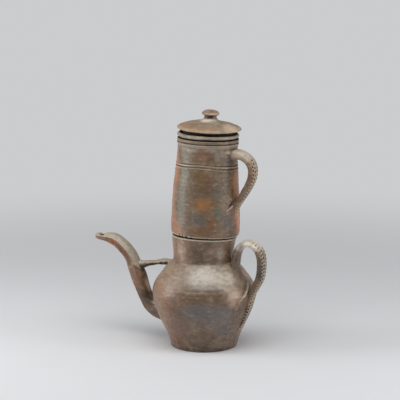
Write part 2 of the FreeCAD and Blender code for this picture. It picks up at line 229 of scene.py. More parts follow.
def thrown(name, form, relief, warp):
    # clay thrown on the wheel: runs are (part of the outline, spacing, share of the relief, painted shade in
    # it, or painted highlight where negative); the outline ends on the axis at both ends, or else it is a
    # loop round a form with a hole through it
    outline = []
    amounts = []
    for part, spacing, amount, dark in form["runs"]:
        line = lineThrough(form[part], spacing)
        if outline:
            line = line[1:]
        outline.append(line)
        amounts.append(np.tile([float(amount), float(dark)], (len(line), 1)))
    outline = np.vstack(outline)
    amounts = np.vstack(amounts)
    smooth = np.convolve(np.pad(amounts[:, 0], 2, mode="edge"), np.ones(5) / 5, mode="valid")
    slope = np.gradient(outline, axis=0)
    slope /= np.linalg.norm(slope, axis=1)[:, None] + 1e-9
    closed = outline[0, 0] == 0
    inner = slice(1, -1) if closed else slice(0, -1)
    outward = np.column_stack([slope[:, 1], -slope[:, 0]])[inner]
    steps = form.get("steps", build["wheelSteps"])
    radius = np.repeat(outline[inner, :1], steps, axis=1)
    height = np.repeat(outline[inner, 1:], steps, axis=1)
    turns = np.tile(np.linspace(0, math.tau, steps, endpoint=False), (len(radius), 1))
    push = relief(aroundAxis(radius, turns, height), turns, radius, height) * smooth[inner, None]
    dark = amounts[inner, 1:]
    # painted shade in the hollows and painted highlight on the ridges
    paintedShading = hollows(push, build["hollowReach"]) * build["hollowShading"]
    paintedShading = np.where(dark == 0, paintedShading, dark + build["mixedShading"] * paintedShading)
    radius = np.maximum(radius + push * outward[:, :1], 0.05)
    height = height + push * outward[:, 1:]
    rings = warp(aroundAxis(radius, turns, height))
    if closed:
        first, last = warp(np.array([[0, 0, outline[0, 1]], [0, 0, outline[-1, 1]]]))
        return skinned(name, rings, first, last, paintedShading)
    total = len(rings) * steps
    faces = [tuple(index % total for index in face) for face in ringFaces(len(rings) + 1, steps)]
    return meshFrom(name, rings.reshape(-1, 3), faces, paintedShading)


def wheelRings(turns, along, pitch, depth):
    # the spiral left by the thrower's fingers, up a wall or out across a lid
    return depth * np.sin(math.tau * along / pitch + turns)


def fingerRings(points, turns, height, form):
    # throwing rings that fade in and out over the wall; ringFade is (share that stays, size of the patches)
    stays, size = form["ringFade"]
    share = stays + (1 - stays) * lumps(points, size, form["seed"] + len(form["lumps"]))
    return wheelRings(turns, height, *form["rings"]) * share


def strokes(turns, height, radius, marks):
    # thumb smears and scratches: (from degrees, from mm, to degrees, to mm, half width, height)
    total = np.zeros_like(height)
    for fromTurn, fromHeight, toTurn, toHeight, half, proud in marks:
        middle = (fromTurn + toTurn) / 2
        startX = math.radians(fromTurn) - math.radians(middle)
        start = np.stack([startX * radius, np.full_like(height, fromHeight)], axis=-1)
        end = np.stack([-startX * radius, np.full_like(height, toHeight)], axis=-1)
        here = np.stack([turnedFrom(turns, middle) * radius, height], axis=-1)
        along = end - start
        share = np.clip(((here - start) * along).sum(-1) / ((along ** 2).sum(-1) + 1e-9), 0, 1)
        gap = np.linalg.norm(here - start - along * share[..., None], axis=-1)
        fainter = 0.35 + 0.65 * np.sin(math.pi * np.clip(share, 0.08, 0.92))     # towards both ends
        total += proud * hump(gap, 0, half) * fainter
    return total


def inPlane(form):
    # a limb's path, in the plane of spout and handles
    line = lineThrough(form["path"], form["spacing"])
    return np.column_stack([line[:, 0], np.zeros(len(line)), line[:, 1]])


def drawn(points, lateral, form):
    # fine lines left along a limb by the fingers: (depth, how close, how far they wander, over what length)
    depth, close, wander, size = form["drawn"]
    return depth * np.sin(lateral * close + wander * lumps(points, size, form["seed"] + len(form["lumps"])))


def pulledLimb(name, path, sections, form, relief, warp=None):
    # pulled clay: ovals set along a smooth path; sections are (share along, half width, half height)
    steps = np.concatenate([[0], np.cumsum(np.linalg.norm(np.diff(path, axis=0), axis=1))])
    along = steps / steps[-1]
    table = np.array(sections, float)
    blur = np.hanning(15) / np.hanning(15).sum()
    halves = []
    for column in (1, 2):
        half = np.interp(along, table[:, 0], table[:, column])
        half = np.convolve(np.pad(half, 7, mode="edge"), blur, mode="valid")
        half[[0, -1]] *= 0.6     # rounds the two ends a little
        halves.append(half)
    width, height = halves
    ahead = np.gradient(path, axis=0)
    ahead /= np.linalg.norm(ahead, axis=1)[:, None]
    side = np.array([0.0, 1.0, 0.0]) - ahead * ahead[:, 1:2]
    side /= np.linalg.norm(side, axis=1)[:, None]
    up = np.cross(side, ahead)
    angle = np.linspace(0, math.tau, form["around"], endpoint=False)
    across = np.sign(np.cos(angle)) * np.abs(np.cos(angle)) ** form["fullness"]
    rise = np.sign(np.sin(angle)) * np.abs(np.sin(angle)) ** form["fullness"]
    lateral = width[:, None] * across
    lift = height[:, None] * rise
    rings = path[:, None] + lateral[..., None] * side[:, None] + lift[..., None] * up[:, None]
    outward = (across / width[:, None])[..., None] * side[:, None]
    outward = outward + (rise / height[:, None])[..., None] * up[:, None]
    outward /= np.linalg.norm(outward, axis=-1)[..., None] + 1e-9
    distance = np.repeat(steps[:, None], form["around"], axis=1)
    push = relief(rings, distance, lateral, rise[None] + 0 * lateral)
    # painted shade in the hollows and painted highlight on the ridges
    paintedShading = hollows(push, form["hollowReach"]) * form["hollowShading"]
    rings = rings + push[..., None] * outward
    first, last = path[0], path[-1]
    if warp:
        rings, first, last = warp(rings), warp(first), warp(last)
    return skinned(name, rings, first, last, paintedShading)


def cutBy(item, tool):
    # carve one solid out of another, and throw the tool away
    carve = item.modifiers.new("carve", "BOOLEAN")
    carve.operation = "DIFFERENCE"
    carve.solver = "MANIFOLD"
    carve.object = tool
    held = bpy.data.meshes.new_from_object(item.evaluated_get(bpy.context.evaluated_depsgraph_get()))
    item.modifiers.clear()
    item.data = held
    bpy.data.objects.remove(tool)
    return item


def placed(item, body, slot, material, *nodes):
    item.data.materials.clear()
    item.data.materials.append(material)
    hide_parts(*nodes)
    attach(item, body)


# Colour helpers

def earth(tint):
    # a colour as seen on screen, 0 to 255, in the linear light that the shader wants
    linear = [c / 255 / 12.92 if c <= 10 else ((c / 255 + 0.055) / 1.055) ** 2.4 for c in tint]
    return (*linear, 1.0)


def node(tree, kind, inputs=None, **settings):
    made = tree.nodes.new(kind)
    for key, value in settings.items():
        setattr(made, key, value)
    for key, value in (inputs or {}).items():
        if isinstance(value, bpy.types.NodeSocket):
            tree.links.new(value, made.inputs[key])
        else:
            made.inputs[key].default_value = value
    return made


def reckon(tree, operation, *inputs):
    return node(tree, "ShaderNodeMath", dict(enumerate(inputs)), operation=operation).outputs[0]


def reckonPlaces(tree, operation, *inputs):
    made = node(tree, "ShaderNodeVectorMath", dict(enumerate(inputs)), operation=operation)
    return made.outputs["Value" if operation in ("LENGTH", "DOT_PRODUCT") else "Vector"]


def placeOf(tree):
    # places in millimetres, the same as the shapes are given in
    return reckonPlaces(tree, "MULTIPLY", node(tree, "ShaderNodeTexCoord").outputs["Object"], (1 / mm,) * 3)


def grain(tree, place, size, detail=3.0, rough=0.55, stretch=(1, 1, 1), twist=0.0, shift=0.0):
    # cloudy noise whose lumps are about this many mm across, from 0 to 1
    moved = reckonPlaces(tree, "MULTIPLY_ADD", place, tuple(s / size for s in stretch), (shift,) * 3)
    made = node(tree, "ShaderNodeTexNoise", {"Vector": moved, "Scale": 1.0, "Detail": detail,
                                             "Roughness": rough, "Distortion": twist})
    return made.outputs["Fac"]


def spread(tree, value, low, high, top=1.0):
    # soft step of a value from low to high
    made = node(tree, "ShaderNodeMapRange", {"Value": value, "From Min": low, "From Max": high, "To Min": 0.0,
                                             "To Max": top}, interpolation_type="SMOOTHSTEP")
    return made.outputs[0]


def painted(tree, base, tint, mask):
    return node(tree, "ShaderNodeMix", {0: mask, 6: base, 7: earth(tint)}, data_type="RGBA").outputs[2]


def blotch(tree, place, ragged, centre, reach, strength):
    # a stain round a place on the clay, with an edge made ragged by a noise
    away = reckonPlaces(tree, "SUBTRACT", place, centre)
    away = reckonPlaces(tree, "MULTIPLY", away, tuple(1 / r for r in reach))
    uneven = reckon(tree, "MULTIPLY_ADD", ragged, 1.3, -0.75)
    edge = reckon(tree, "ADD", reckonPlaces(tree, "LENGTH", away), uneven)
    return spread(tree, edge, 1.0, 0.08, strength)


def flame(tree, place, ragged, turn, narrow, strength):
    # flashing that the flame left on one side, round a direction given in degrees
    angle = math.radians(turn)
    unit = reckonPlaces(tree, "NORMALIZE", reckonPlaces(tree, "MULTIPLY", place, (1, 1, 0)))
    facing = reckonPlaces(tree, "DOT_PRODUCT", unit, (math.cos(angle), math.sin(angle), 0))
    uneven = reckon(tree, "MULTIPLY_ADD", ragged, 0.5, -0.25)
    return spread(tree, reckon(tree, "ADD", facing, uneven), narrow, 1.0, strength)


def heightIn(tree, vector):
    return node(tree, "ShaderNodeSeparateXYZ", {0: vector}).outputs["Z"]


# The fired surface that all the clay has, with painted shade in hollows and painted highlight on ridges,
# sizes in mm; marks are (what, start, full, strength, colour)
glaze = {
    "toneStops": (0.30, 0.50, 0.70),
    "noises": {
        "ragged": {"size": 9.0, "detail": 4.0, "rough": 0.6, "shift": 7.3},
        "patches": {"size": 4.2, "detail": 4.0, "rough": 0.62, "stretch": (0.55, 0.55, 1.0), "shift": 31.0},
        "streaks": {"size": 1.5, "rough": 0.6, "stretch": (0.2, 0.2, 1.0), "shift": 3.1},
        "flecks": {"size": 1.5, "detail": 2.0, "rough": 0.5, "shift": 11.0},
        "sheen": {"size": 5.0, "rough": 0.6, "shift": 23.0},
        "pits": {"size": 2.6, "shift": 5.0},
        "comb": {"size": 2.0, "detail": 2.0, "rough": 0.5, "stretch": (0.09, 0.09, 1.0), "shift": 9.0},
    },
    "marks": [("patches", 0.50, 0.78, 0.50, (62, 46, 34)), ("patches", 0.48, 0.24, 0.26, (200, 186, 164)),
              ("streaks", 0.52, 0.80, 0.26, (66, 50, 38)), ("streaks", 0.46, 0.24, 0.14, (200, 184, 160)),
              # painted highlight on ridges and painted shade in hollows, from the paintedShading attribute
              ("paintedShading", -0.10, -0.75, 0.74, (206, 190, 166)), ("paintedShading", 0.12, 0.95, 0.95, (27, 18, 12)),
              ("flecks", 0.66, 0.76, 0.60, (48, 33, 25))],
    "dullShading": 0.55,    # how much rougher the painted shade is
    "pitShare": 0.7,
    "bumpDepth": 0.0011,    # of pits and comb lines together, in metres
}


def firedClay(name, tones, stainsAndPaintedLight=(), flashes=(), ashAndTopLight=0.35, ashAndTopLightFrom=0.15, ashAndTopLightTo=0.95, ashAndTopLightTint=(190, 180, 166),
              shadeUnderAsh=None, sheltered=None, gloss=0.35, combed=0.5, size=24.0):
    # stoneware: clouded body tones, flame marks, stains, ash with a painted top light, streaks, iron specks
    # and salt pits, and painted shade in hollows and painted highlight on ridges; stainsAndPaintedLight are
    # (centre, reach, strength, colour), each painted over the ones before it, and some are painted
    # highlights, sheen and shadows;
    # flashes (direction, how narrow, strength, colour), shadeUnderAsh a band of painted shade below the ash
    # (colour, strength, width), and sheltered says where less ash and painted top light fell (below this
    # height, fully at this one, how much less)
    material = bpy.data.materials.new(name)
    material.use_nodes = True
    tree = material.node_tree
    shader = tree.nodes["Principled BSDF"]
    place = placeOf(tree)
    ramp = node(tree, "ShaderNodeValToRGB", {"Fac": grain(tree, place, size, 5.0, 0.62, twist=0.6)})
    ramp.color_ramp.elements.new(0.5)
    for stop, position, tone in zip(ramp.color_ramp.elements, glaze["toneStops"], tones):
        stop.position = position
        stop.color = earth(tone)
    colour = ramp.outputs["Color"]
    noises = {what: grain(tree, place, **look) for what, look in glaze["noises"].items()}
    # painted shade and painted highlight carried by the mesh
    noises["paintedShading"] = node(tree, "ShaderNodeAttribute", attribute_name="paintedShading").outputs["Fac"]
    ragged = noises["ragged"]
    for turn, narrow, strength, tint in flashes:
        colour = painted(tree, colour, tint, flame(tree, place, ragged, turn, narrow, strength))
    # stains, among them painted highlights, sheen and shadows
    for centre, reach, strength, tint in stainsAndPaintedLight:
        colour = painted(tree, colour, tint, blotch(tree, place, ragged, centre, reach, strength))
    upward = heightIn(tree, node(tree, "ShaderNodeNewGeometry").outputs["Normal"])
    uneven = reckon(tree, "ADD", upward, reckon(tree, "MULTIPLY_ADD", ragged, 0.36, -0.18))
    if sheltered:
        height = heightIn(tree, place)
        uneven = reckon(tree, "SUBTRACT", uneven, spread(tree, height, *sheltered))
    # a band of painted shade just below the ash, where the clay turns downwards
    if shadeUnderAsh:
        tint, strength, wide = shadeUnderAsh
        below = reckon(tree, "MULTIPLY", spread(tree, uneven, ashAndTopLightFrom - wide, ashAndTopLightFrom - 0.08),
                       spread(tree, uneven, ashAndTopLightTo, ashAndTopLightFrom, strength))
        if sheltered:
            below = reckon(tree, "MULTIPLY", below, spread(tree, height, sheltered[1], sheltered[0]))
        colour = painted(tree, colour, tint, below)
    # pale ash with a painted top light on clay that faces upwards
    colour = painted(tree, colour, ashAndTopLightTint, spread(tree, uneven, ashAndTopLightFrom, ashAndTopLightTo, ashAndTopLight))
    for what, start, full, strength, tint in glaze["marks"]:
        colour = painted(tree, colour, tint, spread(tree, noises[what], start, full, strength))
    tree.links.new(colour, shader.inputs["Base Color"])
    rough = node(tree, "ShaderNodeMapRange", {"Value": noises["sheen"], "From Min": 0.3, "From Max": 0.7,
                                              "To Min": gloss - 0.08, "To Max": gloss + 0.12}).outputs[0]
    rough = reckon(tree, "ADD", rough, spread(tree, noises["paintedShading"], 0.12, 0.95, glaze["dullShading"]))
    tree.links.new(rough, shader.inputs["Roughness"])
    shader.inputs["Specular IOR Level"].default_value = 0.5
    pits = reckon(tree, "MULTIPLY", noises["pits"], glaze["pitShare"])
    relief = reckon(tree, "ADD", pits, reckon(tree, "MULTIPLY", noises["comb"], combed))
    bump = node(tree, "ShaderNodeBump", {"Height": relief, "Strength": 0.5, "Distance": glaze["bumpDepth"]})
    tree.links.new(bump.outputs["Normal"], shader.inputs["Normal"])
    return material


# Lower pot: a full belly on a narrow foot, with a cylindrical neck
pot = {
    "under": [(0, 0), (30, 0), (46.4, 0), (47.4, 0)],
    "outside": [(47.4, 0), (48.5, 0.5), (49, 2), (51.1, 9.6), (54.7, 20), (60.5, 32), (66.5, 44.8),
                (72.3, 60), (75.3, 70), (76.1, 80), (75.1, 87.8), (70.6, 98), (64.7, 105.8), (59.4, 113),
                (54.8, 118.4), (50.8, 122.8), (47.4, 126), (45.3, 127.9), (44.5, 130.2), (44.3, 134),
                (44.4, 140), (45.4, 148.9), (46.65, 157.8), (47.2, 162.4)],
    "rim": [(47.2, 162.4), (47.6, 163.4), (47.4, 164.3), (46.5, 164.9)],
    "seat": [(46.5, 164.9), (45.2, 165.3), (43.6, 165.3), (42.6, 164.8), (42.2, 163.4)],
    "inside": [(42.2, 163.4), (40, 149), (38.8, 140), (40.6, 128), (44.8, 121), (50, 114.5), (59, 104),
               (65.2, 96), (69.8, 87), (70.8, 80), (67.1, 61), (61.2, 46), (55.3, 33.5), (49.4, 21.6),
               (45, 12), (41, 8.2), (30, 7.2), (0, 7)],
    # the rim carries a painted highlight; the seat under the chamber and the inside carry painted shade
    "runs": [("under", 2.5, 0, 0), ("outside", 0.9, 1, 0), ("rim", 0.5, 0.4, -0.7), ("seat", 0.6, 0.4, 0.9),
             ("inside", 2.4, 0, 0.2)],
    "marks": [(5, 102, -20, 79.5, 1.5, 1.5), (1, 103, -20, 84.5, 1.4, -0.3), (-28, 83, -6, 84, 1.3, 0.4),
              (-60, 127, -25, 126.6, 0.9, 0.5), (-120, 128.5, -66, 128, 1, 0.35),
              (-124, 57.5, -122.8, 57.9, 0.9, -0.9), (150, 70, 190, 66, 2, -0.4),
              (60, 96, 110, 92, 1.6, 0.3)],
    # clay smeared out round the feet of the spout, the brace and the handle: (degrees, height, half width,
    # half height, thickness)
    "luting": [(0, 121, 12, 7, 1.6), (180, 120, 9, 6, 1.4), (180, 43, 17, 15, 1.8), (0, 86, 11, 9, 1.2)],
    "seed": 1,
    "lumps": [(0.40, 34), (0.18, 13), (0.10, 4.5)],
    "rings": (6.4, 0.11),    # pitch and depth of the throwing rings
    "ringFade": (0.6, 40),
    "neckRings": (2.7, 0.07),
    "neck": (122, 132, 156, 163),    # heights between which the neck has rings of its own
    "foot": (2, 12),    # heights over which the flat foot turns uneven
    "girth": (60, 74, 76, 84),    # heights between which the belly is trimmed
    "girthTrim": 0.35,
    "trim": 0.18,
    "rimLean": 1.9,    # degrees, and the heights over which the neck takes it up
    "rimLeanFrom": (130, 163),
    "clay": {
        "tones": ((92, 72, 56), (118, 95, 76), (142, 120, 100)),
        "flashes": [(-140, 0.55, 0.40, (160, 112, 82)), (28, 0.70, 0.45, (158, 114, 84))],
        "gloss": 0.30,
        "combed": 0.35,
        "size": 28.0,
        "stainsAndPaintedLight": [
            # painted highlight down the left of the neck
            ((-16, -42, 148), (11, 11, 19), 0.85, (178, 154, 136)),
            ((-32, -32, 148), (7, 7, 22), 0.7, (160, 112, 82)),
            ((13, -43, 147), (17, 17, 19), 0.85, (84, 68, 50)),
            # a pale patch with a painted highlight on the neck's right
            ((38, -22, 144), (9, 9, 12), 0.7, (158, 148, 130)),
            ((44, -6, 146), (8, 8, 17), 0.7, (134, 98, 68)),
            ((20, -43, 133), (26, 20, 5), 0.6, (80, 64, 48)),
            # ash with a painted sheen across the front of the shoulder
            ((24, -51, 115), (37, 34, 19), 0.95, (200, 190, 174)),
            ((-12, -58, 112), (20, 16, 16), 0.7, (144, 122, 103)),
            # ash with a painted sheen across the right of the shoulder
            ((50, -36, 111), (28, 26, 19), 0.9, (200, 188, 171)),
            # painted highlight on the far edge of the shoulder, inside the handle
            ((60, 12, 110), (10, 13, 13), 0.7, (204, 168, 142)),
            ((45, -18, 124), (9, 9, 5), 0.6, (186, 156, 112)),
            ((-34, -40, 116), (20, 20, 12), 0.75, (150, 122, 90)),
            ((-28, -54, 104), (18, 16, 9), 0.5, (140, 114, 92)),
            ((16, -73, 87), (36, 18, 12), 0.9, (106, 82, 60)),
            ((46, -58, 87), (30, 22, 12), 0.9, (108, 84, 62)),
            ((28, -68, 64), (40, 26, 21), 0.85, (98, 95, 95)),
            ((52, -50, 58), (24, 24, 24), 0.80, (104, 102, 101)),
            ((40, -55, 46), (22, 22, 12), 0.70, (126, 110, 106)),
            ((-10, -60, 38), (22, 20, 28), 0.7, (112, 84, 70)),
            ((52, -36, 30), (24, 24, 20), 0.6, (104, 88, 78)),
            ((-30, -66, 92), (22, 18, 24), 0.7, (152, 122, 99)),
            ((-42, -60, 93), (8, 8, 6), 0.5, (176, 118, 78)),
            ((64, -34, 86), (15, 17, 19), 0.85, (190, 160, 136)),
            # painted shadow of the handle on the right of the shoulder
            ((68, -10, 101), (11, 16, 17), 0.85, (124, 94, 72)),
            ((66, 40, 70), (34, 34, 34), 0.5, (132, 100, 76)),
            ((-50, 50, 60), (36, 36, 40), 0.5, (104, 92, 84)),
            ((0, 60, 110), (40, 30, 22), 0.6, (174, 158, 138)),
            ((54, -40, 36), (20, 20, 18), 0.7, (98, 96, 93)),
            # painted shade, darker towards the foot
            ((0, 0, -16), (92, 92, 54), 0.95, (50, 41, 34)),
        ],
    },
}


def potRelief(points, turns, radius, height):
    hold = fade(*pot["foot"], height)
    push = unevenness(points, pot) + fingerRings(points, turns, height, pot)
    push += band(*pot["neck"], height) * wheelRings(turns, height, *pot["neckRings"])
    push += strokes(turns, height, radius, pot["marks"])
    for turn, middle, half, halfUp, proud in pot["luting"]:
        push += proud * hump(turnedFrom(turns, turn) * radius, 0, half) * hump(height, middle, halfUp)
    return push * hold - pot["girthTrim"] * hold * band(*pot["girth"], height) - pot["trim"]


def potWarp(points):
    leaned = points.copy()
    share = fade(*pot["rimLeanFrom"], points[..., 2])
    leaned[..., 2] -= points[..., 0] * math.tan(math.radians(pot["rimLean"])) * share
    return seamWarp(leaned)


potBody = thrown("potBody", pot, potRelief, potWarp)
potClay = firedClay("potClay", **pot["clay"])
print("pot thrown")


# Spout: a swan neck, wide where it is luted on, with its mouth cut in the top behind the nose
spout = {
    "path": [(-44, 42), (-57, 42.3), (-67, 42.7), (-79.6, 45.4), (-88.7, 51.6), (-95.2, 61.2),
             (-101.7, 74.4), (-109, 90.5), (-114.4, 104.3), (-118.6, 116.5), (-123.6, 124.5), (-130.7, 132),
             (-140.3, 139.5), (-148.4, 143.5), (-156.6, 145.2), (-166.5, 145.8), (-173.8, 146.4),
             (-180.2, 146.7)],
    "radius": 10.6,
    "wall": 2.7,
    # share of the way along, then half width and half height in radii
    "sections": [(0, 1.70, 1.60), (0.08, 1.50, 1.38), (0.16, 1.26, 1.18), (0.22, 1.10, 1.06), (0.29, 1, 1),
                 (0.46, 1, 1), (0.54, 0.97, 0.97), (0.61, 0.94, 0.94), (0.70, 0.92, 0.92),
                 (0.77, 0.90, 0.90), (0.82, 0.88, 0.88), (0.86, 0.86, 0.82), (0.89, 0.80, 0.68),
                 (0.925, 0.70, 0.50), (0.96, 0.62, 0.45), (0.985, 0.56, 0.42), (1, 0.40, 0.32)],
    "spacing": 0.8,
    "around": 96,
    "fullness": 0.94,
    "hollowReach": 5,
    # painted shade in the spout's hollows and painted highlight on its ridges
    "hollowShading": 0.5,
    "seed": 11,
    "lumps": [(0.45, 22), (0.20, 9), (0.06, 3.5)],
    "drawn": (0.10, 1.9, 2, 30),
    "crest": [(0.9, 0.30, 0.16), (-0.7, -0.15, 0.22)],    # a ridge and a groove along its upper side
    "crestFrom": (66, 100),    # mm along the spout
    "smear": (2.6, 93, 17),    # clay of the brace: how thick, how far along, half length
    "smearFace": (0.05, 0.75),    # on the side that faces the pot
    "clay": {
        "tones": ((96, 70, 52), (122, 90, 66), (142, 110, 84)),
        # pale ash with a painted top light along the spout's upper side
        "ashAndTopLight": 0.9,
        "ashAndTopLightFrom": 0.12,
        "ashAndTopLightTo": 0.34,
        "ashAndTopLightTint": (188, 176, 156),
        # painted shade along the flank below the ash, with flashing colour
        "shadeUnderAsh": ((96, 58, 34), 0.7, 0.42),
        "sheltered": (113, 102, 0.40),
        "combed": 0.0,
        "size": 18.0,
        "stainsAndPaintedLight": [
            ((-147, -10, 140), (17, 7, 8), 0.9, (156, 84, 42)),
            ((-128, -10, 128), (16, 9, 15), 0.9, (122, 78, 50)),
            ((-111, -9, 97), (10, 9, 20), 0.85, (112, 78, 58)),
            ((-178, 0, 147), (9, 12, 8), 0.8, (206, 188, 166)),
            ((-118, -8, 100), (14, 12, 16), 0.5, (150, 116, 92)),
            ((-112, -8, 84), (9, 10, 9), 0.6, (150, 92, 64)),
            # painted shadow of the brace on the spout
            ((-101.5, -2.5, 102.5), (5, 6, 7.5), 0.98, (26, 18, 13)),
            ((-110, -9, 112), (8, 7, 4.5), 0.9, (208, 192, 168)),
            ((-92, -8, 62), (16, 12, 22), 0.9, (60, 47, 37)),
            ((-76, -8, 44), (22, 16, 16), 0.7, (74, 58, 46)),
            ((-92.5, -1, 80), (8, 6.5, 16), 0.9, (196, 178, 154)),
        ],
    },
}
bore = {
    "endShare": 0.985,    # of the spout's length
    "around": 48,
    "fullness": 1.0,
    "hollowReach": 5,
    # painted shade in the bore's hollows
    "hollowShading": 1.9,
    "seed": 15,
    "lumps": [(0.12, 8)],
}
mouth = {
    "centre": (-168.2, -0.2),
    # height, half length and half width of the cut, which widens above the clay to slice off the spout's top
    "cuts": ((143.0, 3.8, 3.2), (148.6, 4.4, 3.9), (149.4, 4.8, 5.6), (150.0, 5.2, 9.0), (158.0, 6.4, 11.0)),
    "tilt": 0.10,
    "around": 48,
}


def spoutRelief(points, distance, lateral, rise):
    push = unevenness(points, spout) + drawn(points, lateral, spout)
    crest = sum(height * hump(rise, middle, half) for height, middle, half in spout["crest"])
    thick, middle, half = spout["smear"]
    smear = thick * hump(distance, middle, half) * fade(*spout["smearFace"], rise)
    return push + crest * fade(*spout["crestFrom"], distance) + smear


def sized(form, half, halfUp, less=0.0):
    return [(share, half * width - less, halfUp * height - less) for share, width, height in form["sections"]]


def boreTool(name):
    # a narrower spout that stops short of the nose
    path = inPlane(spout)
    path = path[:int(len(path) * bore["endShare"])]
    sections = sized(spout, spout["radius"], spout["radius"], spout["wall"])[:-1]
    sections = [(min(share / bore["endShare"], 1), width, height) for share, width, height in sections]
    return pulledLimb(name, path, sections, bore, lambda points, *rest: unevenness(points, bore))


def mouthTool():
    x, y = mouth["centre"]
    turn = np.linspace(0, math.tau, mouth["around"], endpoint=False)
    rings = []
    for level, length, width in mouth["cuts"]:
        sideways = width * np.sin(turn)
        height = level + mouth["tilt"] * sideways
        rings.append(np.stack([x + length * np.cos(turn), y + sideways, height], axis=-1))
    rings = np.array(rings)
    return skinned("mouth", rings, rings[0].mean(0), rings[-1].mean(0))


spoutSections = sized(spout, spout["radius"], spout["radius"])
potSpout = pulledLimb("potSpout", inPlane(spout), spoutSections, spout, spoutRelief)
spoutClay = firedClay("spoutClay", **spout["clay"])
print("spout pulled")


# Clay roll that braces the spout against the shoulder
brace = {
    "path": [(-119, 110.5), (-107, 109.6), (-96, 111.6), (-86, 113.9), (-76, 116.2), (-66, 117.6),
             (-57, 118.2), (-50, 117.6)],
    "sections": [(0, 3, 3), (0.12, 4, 6.2), (0.20, 4.7, 6.4), (0.32, 4.6, 4.7), (0.48, 4.3, 4),
                 (0.64, 4, 3.6), (0.76, 4.9, 4.5), (0.86, 4.7, 4.2), (1, 5.6, 5)],
    "spacing": 0.5,
    "around": 64,
    "fullness": 1.0,
    "hollowReach": 5,
    # painted shade in the roll's hollows and painted highlight on its lumps
    "hollowShading": 1.0,
    "seed": 21,
    "lumps": [(0.8, 9), (0.45, 4), (0.15, 2)],
    "clay": {
        "tones": ((112, 84, 64), (142, 112, 86), (168, 140, 114)),
        # ash with a painted top light on the roll
        "ashAndTopLight": 0.6,
        "ashAndTopLightFrom": -0.15,
        "ashAndTopLightTo": 0.5,
        "ashAndTopLightTint": (186, 170, 146),
        # painted shadow along the roll's underside
        "shadeUnderAsh": ((26, 17, 12), 0.95, 1.8),
        "combed": 0.0,
        "size": 7.0,
        "stainsAndPaintedLight": [
            ((-62, 0, 120), (9, 9, 9), 0.7, (186, 178, 156)),
            ((-104, 0, 110), (8, 12, 10), 0.9, (206, 192, 170)),
        ],
    },
}
spoutBrace = pulledLimb("spoutBrace", inPlane(brace), brace["sections"], brace,
                        lambda points, *rest: unevenness(points, brace))
braceClay = firedClay("braceClay", **brace["clay"])
print("brace rolled")


# Strap handles, pulled and marked with rows of dots from a small wheel
strap = {
    "halfWidth": 11.0,
    "halfThickness": 4.9,
    "spacing": 0.42,
    "around": 120,
    "fullness": 0.68,
    "hollowReach": 5,
    # painted shade in the dots and hollows, painted highlight on the lips round the dots
    "hollowShading": 1.9,
    "lumps": [(0.35, 16), (0.16, 6), (0.07, 2.4)],
    "drawn": (0.10, 1.5, 1.5, 40),
    "trim": 0.2,
    "dotPitch": 4.85,
    "dotRadius": 1.5,
    "dotDepth": 1.5,
    "dotSquash": 0.9,    # how much wider than long a dot is
    "dotSlope": (1.25, 0.55),    # radii between which a dot deepens
    "dotLip": (0.28, 1.5, 0.6),    # clay pushed up round it: how high, at how many radii, half width
    "dotFade": 2,    # mm over which a row starts and ends
    "dotWander": (0.5, 21),    # how far a row strays sideways, and over what length
    "dotFace": (0.2, -0.25),    # the rows are on the face away from the pot
    "clay": {
        "tones": ((100, 77, 60), (128, 103, 82), (152, 130, 108)),
        "ashAndTopLight": 0.4,
        "combed": 0.0,
        "size": 14.0,
        "stainsAndPaintedLight": [
            # painted highlight on top of the lower handle's arch
            ((72, 0, 160), (34, 26, 17), 0.95, (250, 242, 226)),
            ((92, -4, 122), (20, 22, 30), 0.9, (88, 71, 56)),
            # painted shade down the outer side of the lower handle
            ((98, 0, 118), (10, 22, 40), 0.9, (46, 37, 31)),
            ((80, -8, 90), (12, 14, 18), 0.75, (88, 70, 56)),
            ((52, 0, 134), (8, 16, 15), 0.7, (96, 78, 64)),
            ((84, 0, 96), (12, 20, 14), 0.6, (122, 94, 70)),
            ((72, 0, 56), (16, 22, 32), 0.85, (70, 58, 50)),
            # painted highlight on top of the upper handle's arch
            ((64, -4, 289), (24, 22, 16), 0.9, (214, 194, 172)),
            ((80, -4, 260), (13, 20, 20), 0.9, (122, 82, 62)),
            ((66, 0, 232), (18, 20, 20), 0.8, (112, 84, 62)),
            ((52, 0, 206), (8, 20, 16), 0.6, (168, 116, 88)),
        ],
    },
}
# Sections are (share along, half width and half thickness as shares of the strap's), and rows of dots
# (mm from the middle, start and end in mm along the strap, strength)
lowerStrap = strap | {
    "seed": 31,
    "path": [(50.6, 117.8), (50.6, 123), (51, 129.5), (52.8, 138.8), (55.6, 147.1), (59.9, 153.4),
             (66.3, 157.6), (73.6, 158.7), (81, 156), (87.3, 150.2), (90.7, 142.4), (92.2, 134.6),
             (92.3, 125.8), (91.5, 116.7), (89.4, 107.9), (85.6, 99.8), (81.3, 92.4), (77.2, 84.5),
             (75.6, 73.2), (72.9, 62.4), (69, 51.6), (64.3, 40.8), (59, 30.5)],
    "sections": [(0, 1.20, 0.66), (0.03, 1.16, 0.92), (0.07, 1.04, 1.02), (0.14, 0.98, 0.98),
                 (0.22, 0.96, 0.94), (0.32, 1, 0.96), (0.45, 1, 1.02), (0.57, 1, 1.04), (0.66, 1, 1.04),
                 (0.72, 0.98, 1), (0.78, 0.80, 0.90), (0.86, 0.60, 0.74), (0.93, 0.46, 0.56),
                 (1, 0.26, 0.24)],
    "dotRows": [(-2.4, 50, 214, 1), (-6.8, 56, 200, 0.4), (6, 52, 190, 0.8)],
    "tailSwing": -4.0,    # its tail was pressed down a little towards the front
    "tailHeight": (92, 50),
    "tailReach": (50, 62),
}
